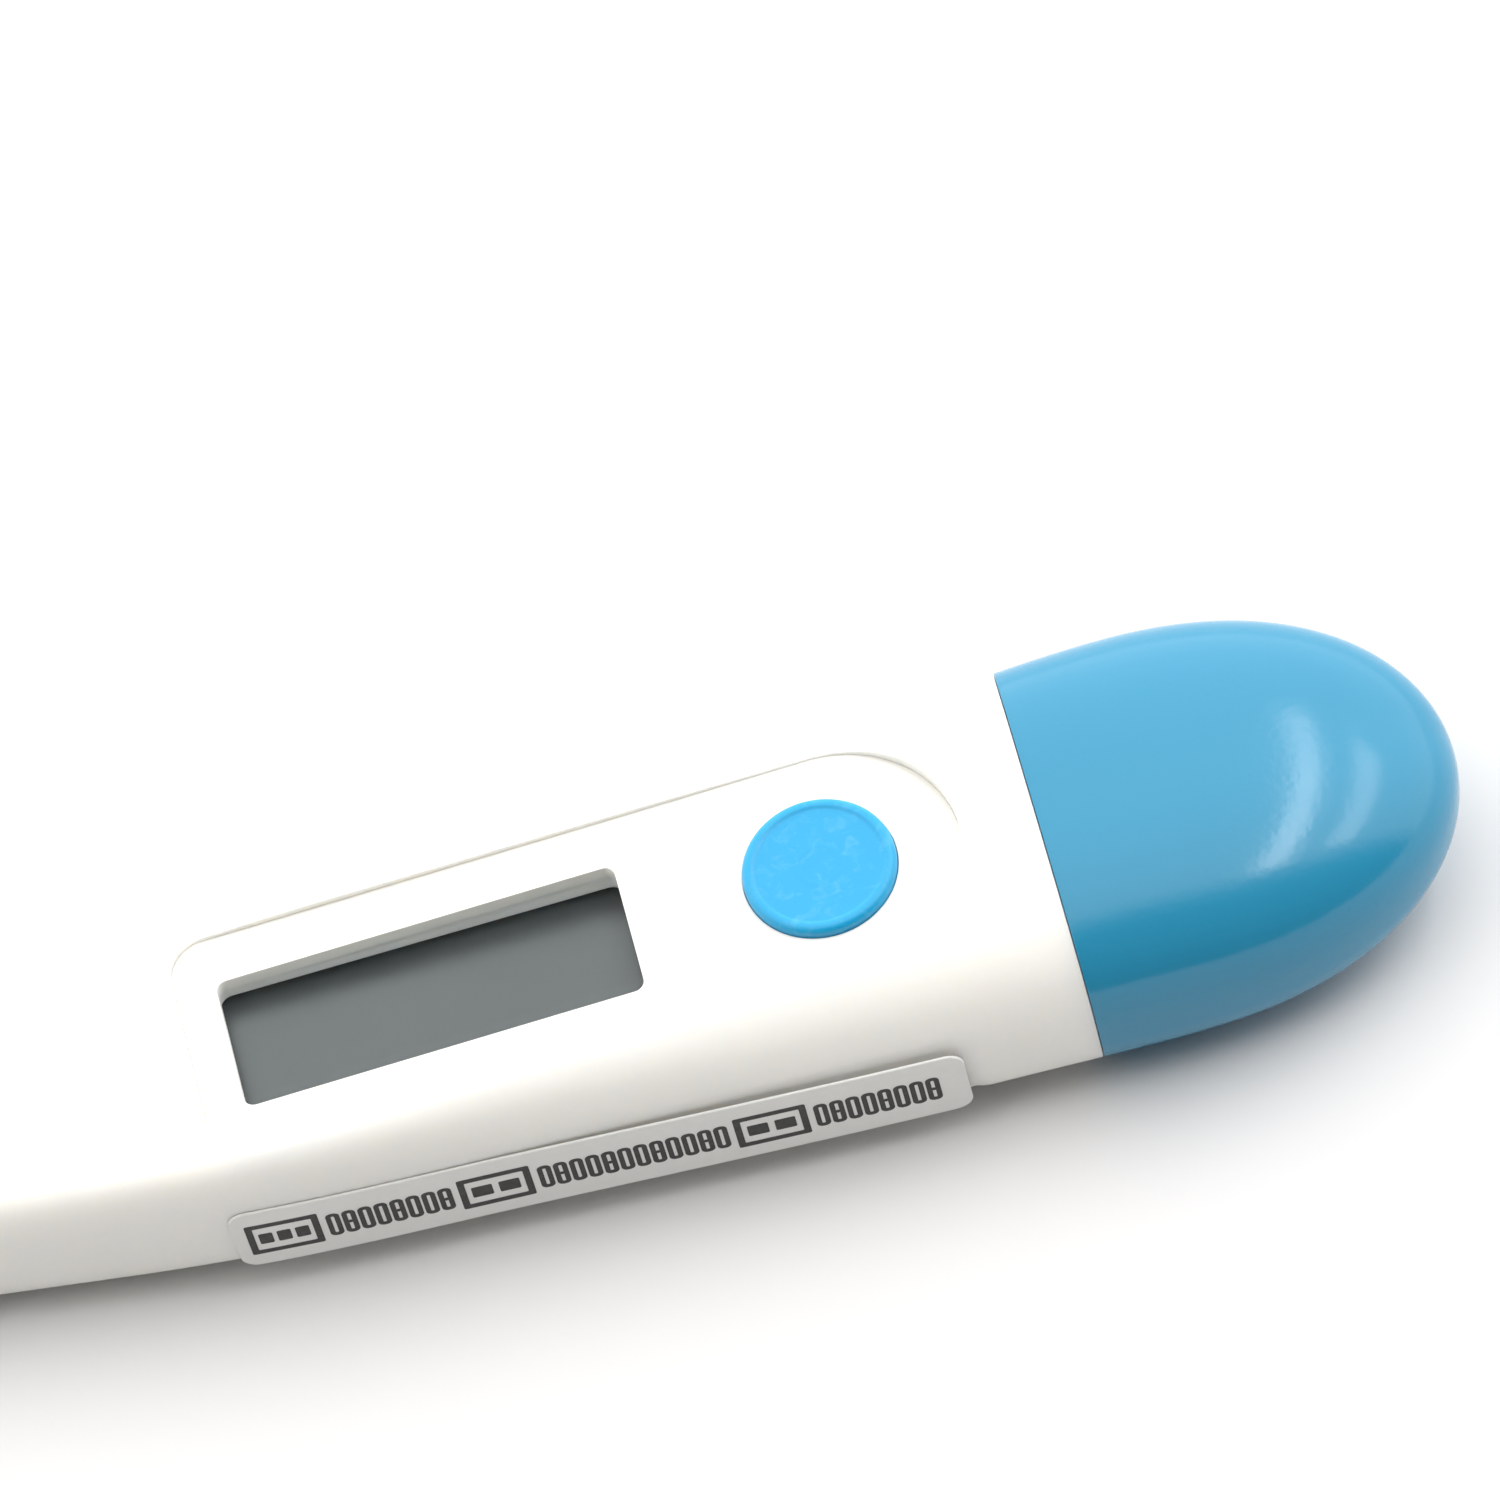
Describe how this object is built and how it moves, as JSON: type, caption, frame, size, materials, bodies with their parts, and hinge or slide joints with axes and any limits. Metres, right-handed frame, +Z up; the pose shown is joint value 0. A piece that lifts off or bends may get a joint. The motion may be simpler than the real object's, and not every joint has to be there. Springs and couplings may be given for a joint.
{
  "type": "digital thermometer",
  "caption": "Pen-type clinical thermometer: tapered case with a steel-tipped stem, recessed display, round push button and a pull-off battery cap.",
  "frame": {"origin": "under the middle of the length, on the surface that the thermometer lies on", "axes": "+X along the case towards the battery cap, +Z up out of the display, +Y across"},
  "size_m": [0.1278, 0.0186, 0.011],
  "materials": {
    "white_case": "moulded white ABS, satin gloss",
    "white_panel": "smooth white ABS panel",
    "white_tray": "moulded white ABS, plain inner finish",
    "blue_cap": "moulded blue ABS, glossy",
    "blue_button": "moulded blue thermoplastic rubber, smooth",
    "clear_window": "clear acrylic sheet",
    "display_glass": "liquid crystal cell between glass plates",
    "polariser_film": "grey polarising film",
    "reflector_foil": "brushed reflecting foil",
    "grey_frame": "moulded grey ABS",
    "contact_rubber": "layered conductive silicone rubber",
    "seal_rubber": "dark green silicone rubber",
    "gasket_rubber": "translucent silicone rubber",
    "board_laminate": "glass-fibre board with green solder mask",
    "black_epoxy": "black potting epoxy",
    "chip_ceramic": "fired ceramic chip with tinned ends",
    "probe_steel": "deep-drawn polished stainless steel",
    "spring_steel": "stamped spring steel",
    "nickel_contact": "nickel plated strip",
    "cell_steel": "nickel plated steel can with a light brushed top",
    "sounder_brass": "thin rolled brass",
    "sounder_ceramic": "silvered piezo ceramic",
    "lead_enamel": "enamelled copper wire",
    "label_paper": "coated white paper label with plain grey bars"
  },
  "bodies": {
    "case": {"main_case": "white_case", "face_panel": "white_panel", "button_gasket": "gasket_rubber", "snap_dome": "spring_steel", "cap_seal_ring": "seal_rubber", "side_label": "label_paper", "probe_tip": "probe_steel", "thermistor_bead": "black_epoxy", "thermistor_lead_1": "lead_enamel", "thermistor_lead_2": "lead_enamel", "tip_adhesive": "black_epoxy", "display_window": "clear_window", "lcd_front_polariser": "polariser_film", "lcd_glass": "display_glass", "lcd_reflector": "reflector_foil", "lcd_frame": "grey_frame", "zebra_connector": "contact_rubber", "circuit_board": "board_laminate", "chip_encapsulant": "black_epoxy", "chip_resistor_1": "black_epoxy", "chip_resistor_2": "black_epoxy", "chip_resistor_3": "black_epoxy", "chip_capacitor_1": "chip_ceramic", "chip_capacitor_2": "chip_ceramic", "buzzer_plate": "sounder_brass", "buzzer_ceramic": "sounder_ceramic", "buzzer_contact_1": "nickel_contact", "buzzer_contact_2": "nickel_contact", "battery_cell": "cell_steel", "battery_tray": "white_tray", "positive_contact": "nickel_contact", "negative_contact": "nickel_contact"},
    "button": {"power_button": "blue_button"},
    "cap": {"battery_cap": "blue_cap"}
  },
  "joints": [
    {"name": "button_press", "type": "slide", "parent": "case", "child": "button", "axis": [0.02, 0, -0.9998], "range_m": [0, 0.0004], "stiffness_N_per_m": 1500, "deforming": ["snap_dome"]},
    {"name": "cap_pull", "type": "slide", "parent": "case", "child": "cap", "axis": [1, 0, 0], "range_m": [0, 0.022]}
  ]
}
